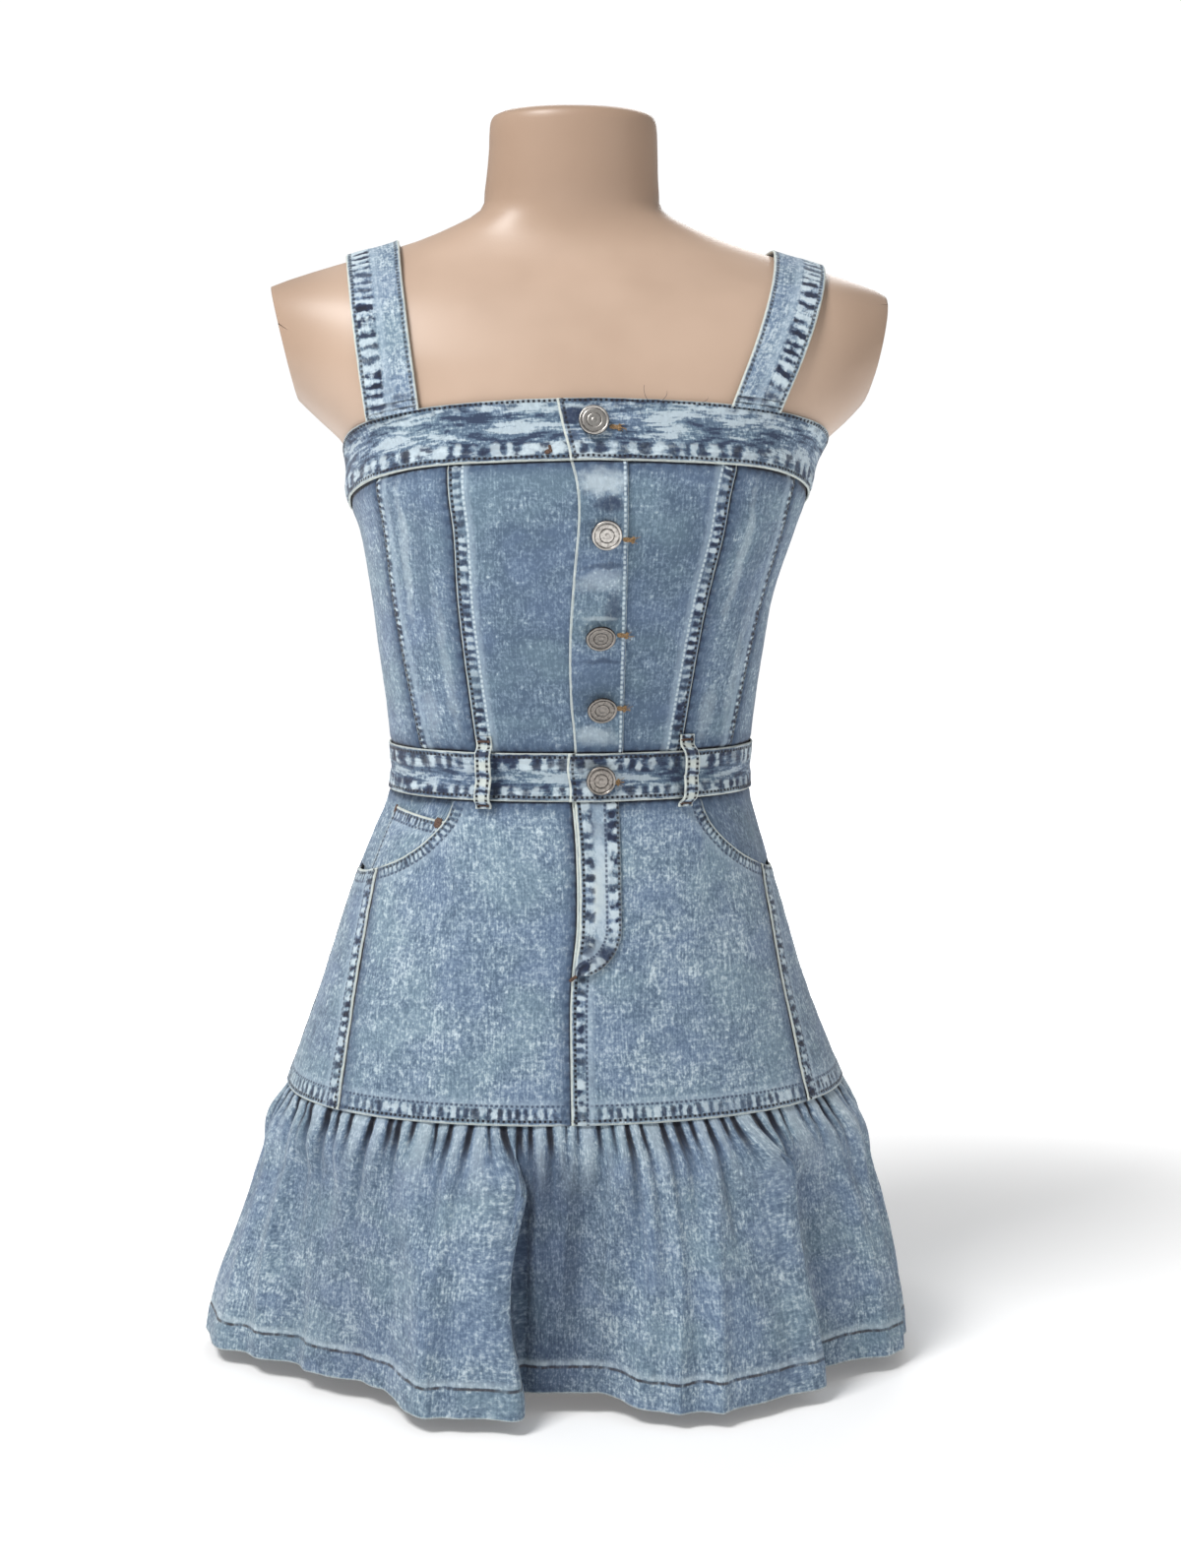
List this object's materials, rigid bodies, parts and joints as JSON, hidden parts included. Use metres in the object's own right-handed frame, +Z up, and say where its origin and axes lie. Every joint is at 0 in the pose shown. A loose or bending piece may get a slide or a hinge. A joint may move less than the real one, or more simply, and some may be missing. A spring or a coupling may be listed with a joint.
{
  "type": "denim pinafore dress on a dress form",
  "caption": "Sleeveless button-front denim pinafore dress with shoulder straps, belt loops, scooped pockets and a gathered hem ruffle, on a limbless dress form.",
  "frame": {"origin": "middle of the dress form's flat base, which stands on z = 0", "axes": "+Z up the form's neck, -Y the way the dress faces, +X towards the wearer's left"},
  "size_m": [0.4805, 0.3708, 0.8068],
  "materials": {
    "washed_denim": "acid-washed light blue denim with cream worn edges",
    "antique_silver": "antique silver, ringed",
    "form_skin": "satin beige"
  },
  "bodies": {
    "root": {"top_band_left": "washed_denim", "top_band_right": "washed_denim", "top_band_back": "washed_denim", "centre_front_left": "washed_denim", "centre_front_right": "washed_denim", "button_placket": "washed_denim", "side_front_left": "washed_denim", "side_front_right": "washed_denim", "side_left": "washed_denim", "side_right": "washed_denim", "centre_back_left": "washed_denim", "centre_back_right": "washed_denim", "waistband_left": "washed_denim", "waistband_right": "washed_denim", "belt_loop_front_right": "washed_denim", "belt_loop_front_left": "washed_denim", "belt_loop_back_right": "washed_denim", "belt_loop_back_centre": "washed_denim", "belt_loop_back_left": "washed_denim", "skirt_front_left": "washed_denim", "skirt_front_right": "washed_denim", "skirt_side_left": "washed_denim", "skirt_side_right": "washed_denim", "skirt_back_left": "washed_denim", "skirt_back_right": "washed_denim", "pocket_facing_left": "washed_denim", "pocket_facing_right": "washed_denim", "coin_pocket": "washed_denim", "fly": "washed_denim", "ruffle_front": "washed_denim", "ruffle_back": "washed_denim", "strap_left": "washed_denim", "strap_right": "washed_denim", "button_1": "antique_silver", "button_2": "antique_silver", "button_3": "antique_silver", "button_4": "antique_silver", "button_5": "antique_silver", "dress_form": "form_skin"}
  },
  "joints": []
}
